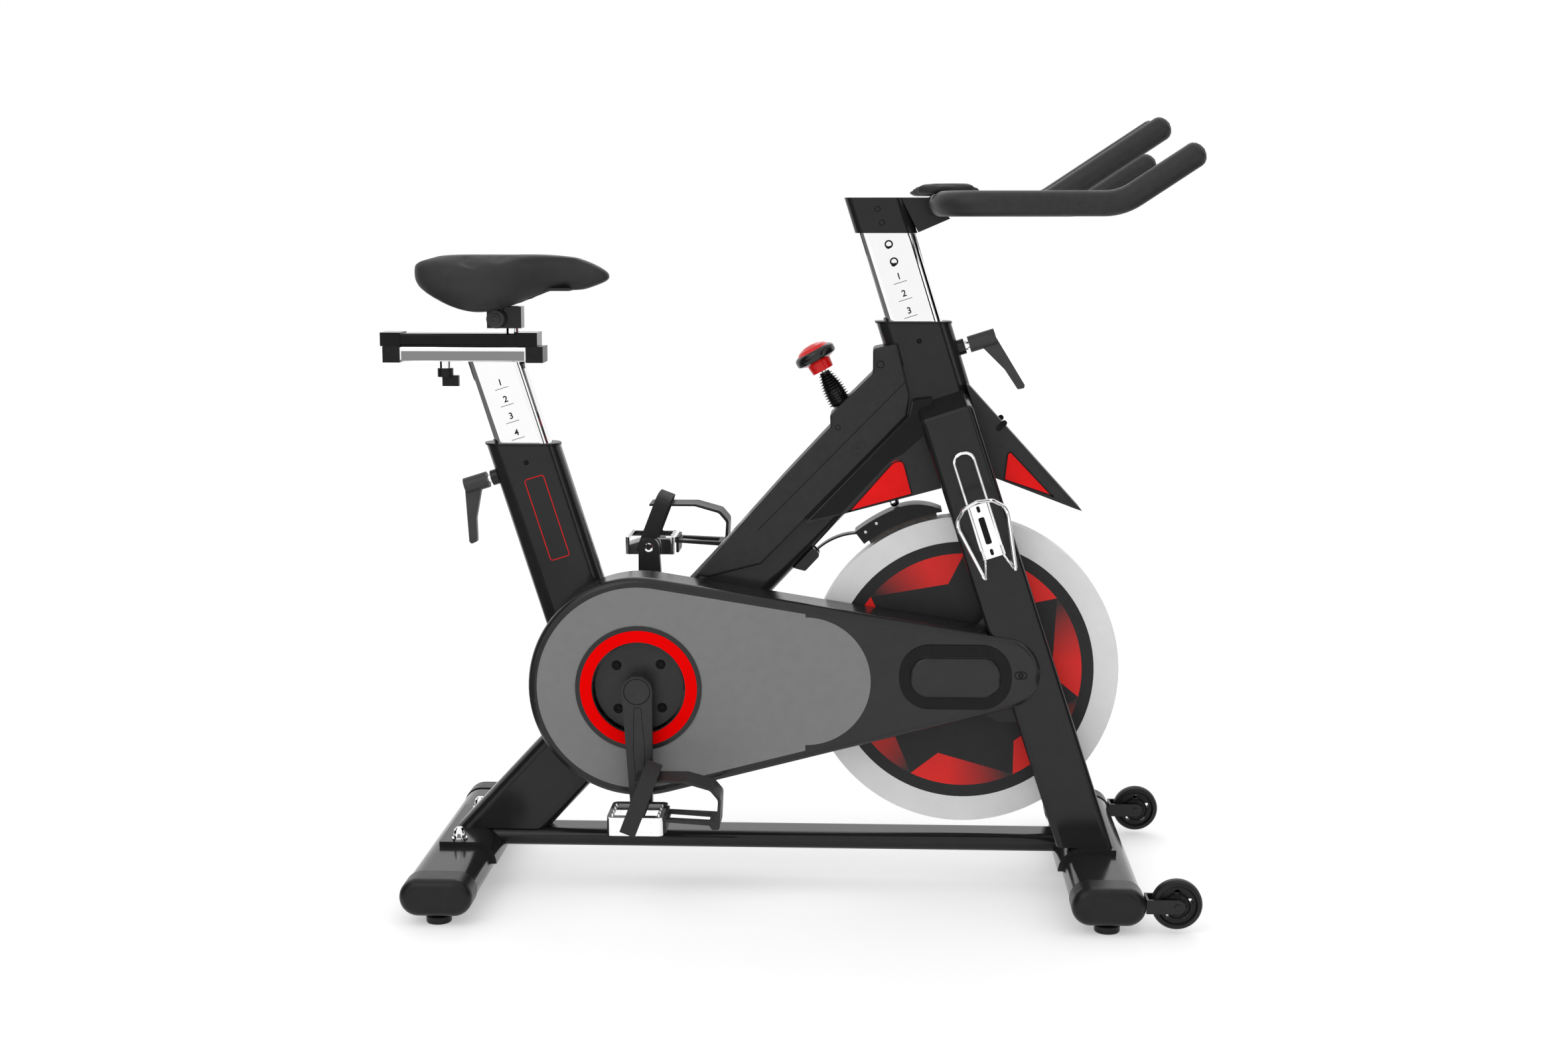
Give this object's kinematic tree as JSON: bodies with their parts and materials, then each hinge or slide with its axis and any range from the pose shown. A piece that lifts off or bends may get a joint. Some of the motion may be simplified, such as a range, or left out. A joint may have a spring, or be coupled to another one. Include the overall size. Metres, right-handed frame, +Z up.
{
  "type": "indoor spin bike",
  "caption": "Indoor spin bike with a belt-driven flywheel, adjustable saddle and bull-horn handlebar, resistance knob, bottle cage, levelling feet and transport wheels.",
  "frame": {"origin": "on the floor, below the middle of the bounding box", "axes": "+X forward towards the handlebar ends and transport wheels, +Y to the rider's left, +Z up"},
  "size_m": [1.121, 0.5084, 1.0663],
  "materials": {
    "frame_paint": "satin",
    "guard_plastic": "gloss",
    "panel_grey": "satin",
    "ring_red": "gloss",
    "shroud_plastic": "textured",
    "black_plastic": "matt",
    "chrome": "polished",
    "steel": "brushed",
    "zinc_steel": "bright",
    "flywheel_iron": "machined and lacquered",
    "flywheel_print": "printed disc",
    "pulley_aluminium": "machined",
    "belt_rubber": "matt",
    "rubber": "matt",
    "wheel_rubber": "matt",
    "crank_steel": "semi-gloss",
    "vinyl": "stitched vinyl",
    "bar_coating": "dipped coating",
    "insert_red": "gloss",
    "knob_plastic": "gloss",
    "brake_felt": "matt"
  },
  "bodies": {
    "frame": {"main_beam": "frame_paint", "seat_tube": "frame_paint", "head_tube": "frame_paint", "fork_legs": "frame_paint", "base_rail": "frame_paint", "stabilisers": "frame_paint", "stabiliser_caps": "rubber", "stabiliser_bolts": "chrome", "bearings": "steel", "flywheel_axle": "zinc_steel", "guard_outer_cover": "guard_plastic", "guard_inner_cover": "guard_plastic", "guard_panel": "panel_grey", "guard_ring": "ring_red", "left_shroud": "shroud_plastic", "right_shroud": "shroud_plastic", "fender": "shroud_plastic", "fender_inserts": "insert_red", "bottle_cage": "chrome", "caster_brackets": "frame_paint", "sleeve_liners": "black_plastic", "drive_belt": "belt_rubber", "bellows": "rubber"},
    "seat_post": {"seat_post": "chrome", "seat_rail_caps": "black_plastic"},
    "fore_aft_knob": {"fore_aft_knob": "black_plastic"},
    "seat_carriage": {"seat_carriage": "frame_paint", "saddle_clamp": "frame_paint"},
    "saddle": {"saddle_frame": "steel", "saddle_cushion": "vinyl"},
    "handlebar": {"handlebar_post": "chrome", "head_block": "frame_paint", "handlebar": "bar_coating", "forearm_pads": "rubber"},
    "flywheel": {"flywheel": "flywheel_iron", "flywheel_covers": "flywheel_print", "flywheel_pulley": "pulley_aluminium"},
    "crankset": {"crank_axle": "steel", "left_crank": "crank_steel", "right_crank": "crank_steel", "drive_pulley": "pulley_aluminium", "drive_disc": "crank_steel"},
    "right_pedal": {"right_pedal": "zinc_steel", "right_toe_cage": "black_plastic"},
    "left_pedal": {"left_pedal": "zinc_steel", "left_toe_cage": "black_plastic"},
    "right_caster_wheel": {"right_caster_wheel": "wheel_rubber"},
    "left_caster_wheel": {"left_caster_wheel": "wheel_rubber"},
    "front_left_foot": {"front_left_foot": "rubber"},
    "front_right_foot": {"front_right_foot": "rubber"},
    "rear_left_foot": {"rear_left_foot": "rubber"},
    "rear_right_foot": {"rear_right_foot": "rubber"},
    "seat_pin": {"seat_pin": "chrome"},
    "seat_lever": {"seat_lever": "black_plastic"},
    "head_pin": {"head_pin": "chrome"},
    "head_lever": {"head_lever": "black_plastic"},
    "brake_arm": {"brake_arm": "zinc_steel", "brake_pad": "brake_felt"},
    "brake_rod": {"brake_rod": "chrome"},
    "resistance_knob": {"resistance_knob": "knob_plastic"}
  },
  "joints": [
    {"name": "flywheel_spin", "type": "hinge", "parent": "frame", "child": "flywheel", "pos_m": [0.2515, 0, 0.306], "axis": [0, 1, 0], "continuous": true},
    {"name": "crank_spin", "type": "hinge", "parent": "frame", "child": "crankset", "pos_m": [-0.197, 0, 0.2915], "axis": [0, 1, 0], "continuous": true},
    {"name": "right_pedal_spin", "type": "hinge", "parent": "crankset", "child": "right_pedal", "pos_m": [-0.19179, -0.158, 0.12558], "axis": [0, 1, 0], "continuous": true},
    {"name": "left_pedal_spin", "type": "hinge", "parent": "crankset", "child": "left_pedal", "pos_m": [-0.20221, 0.158, 0.45742], "axis": [0, 1, 0], "continuous": true},
    {"name": "right_caster_spin", "type": "hinge", "parent": "frame", "child": "right_caster_wheel", "pos_m": [0.527, -0.2276, 0.0396], "axis": [0, 1, 0], "continuous": true},
    {"name": "left_caster_spin", "type": "hinge", "parent": "frame", "child": "left_caster_wheel", "pos_m": [0.527, 0.2276, 0.0396], "axis": [0, 1, 0], "continuous": true},
    {"name": "front_left_foot_screw", "type": "slide", "parent": "frame", "child": "front_left_foot", "axis": [0, 0, -1], "range_m": [0, 0.012]},
    {"name": "front_right_foot_screw", "type": "slide", "parent": "frame", "child": "front_right_foot", "axis": [0, 0, -1], "range_m": [0, 0.012]},
    {"name": "rear_left_foot_screw", "type": "slide", "parent": "frame", "child": "rear_left_foot", "axis": [0, 0, -1], "range_m": [0, 0.012]},
    {"name": "rear_right_foot_screw", "type": "slide", "parent": "frame", "child": "rear_right_foot", "axis": [0, 0, -1], "range_m": [0, 0.012]},
    {"name": "seat_height", "type": "slide", "parent": "frame", "child": "seat_post", "axis": [-0.3007, 0, 0.9537], "range_m": [-0.09, 0.09]},
    {"name": "fore_aft_knob_turn", "type": "hinge", "parent": "seat_post", "child": "fore_aft_knob", "pos_m": [-0.474, 0, 0.714], "axis": [0, 0, 1], "range_deg": [-180, 180]},
    {"name": "saddle_fore_aft", "type": "slide", "parent": "seat_post", "child": "seat_carriage", "axis": [1, 0, 0], "range_m": [-0.05, 0.05]},
    {"name": "saddle_tilt", "type": "hinge", "parent": "seat_carriage", "child": "saddle", "pos_m": [-0.3977, 0, 0.7955], "axis": [0, 1, 0], "range_deg": [-10, 10]},
    {"name": "handlebar_height", "type": "slide", "parent": "frame", "child": "handlebar", "axis": [-0.3007, 0, 0.9537], "range_m": [-0.075, 0.045]},
    {"name": "seat_pin_pull", "type": "slide", "parent": "frame", "child": "seat_pin", "axis": [-0.9537, 0, -0.3007], "range_m": [0, 0.01], "stiffness_N_per_m": 1200, "springref_m": -0.01},
    {"name": "seat_lever_turn", "type": "hinge", "parent": "seat_pin", "child": "seat_lever", "pos_m": [-0.40259, 0, 0.574], "axis": [-0.9537, 0, -0.3007], "range_deg": [-60, 60]},
    {"name": "head_pin_pull", "type": "slide", "parent": "frame", "child": "head_pin", "axis": [0.9537, 0, 0.3007], "range_m": [0, 0.01], "stiffness_N_per_m": 1200, "springref_m": -0.01},
    {"name": "head_lever_turn", "type": "hinge", "parent": "head_pin", "child": "head_lever", "pos_m": [0.24104, 0, 0.756], "axis": [0.9537, 0, 0.3007], "range_deg": [-60, 60]},
    {"name": "brake_arm_flex", "type": "hinge", "parent": "frame", "child": "brake_arm", "pos_m": [0.0414, 0, 0.46653], "axis": [0, 1, 0], "range_deg": [0, 0.85], "stiffness_Nm_per_rad": 60, "springref_deg": -3.44},
    {"name": "brake_rod_push", "type": "slide", "parent": "frame", "child": "brake_rod", "axis": [0.4772, 0, -0.8788], "range_m": [0, 0.002], "deforming": ["bellows"]},
    {"name": "resistance_turn", "type": "hinge", "parent": "brake_rod", "child": "resistance_knob", "pos_m": [0.0427, 0, 0.7456], "axis": [-0.4772, 0, 0.8788], "range_deg": [-360, 360]}
  ],
  "couplings": [
    {"joint": "crank_spin", "follows": "flywheel_spin", "ratio": 0.28},
    {"joint": "brake_rod_push", "follows": "brake_arm_flex", "m_per_rad": 0.13431}
  ]
}
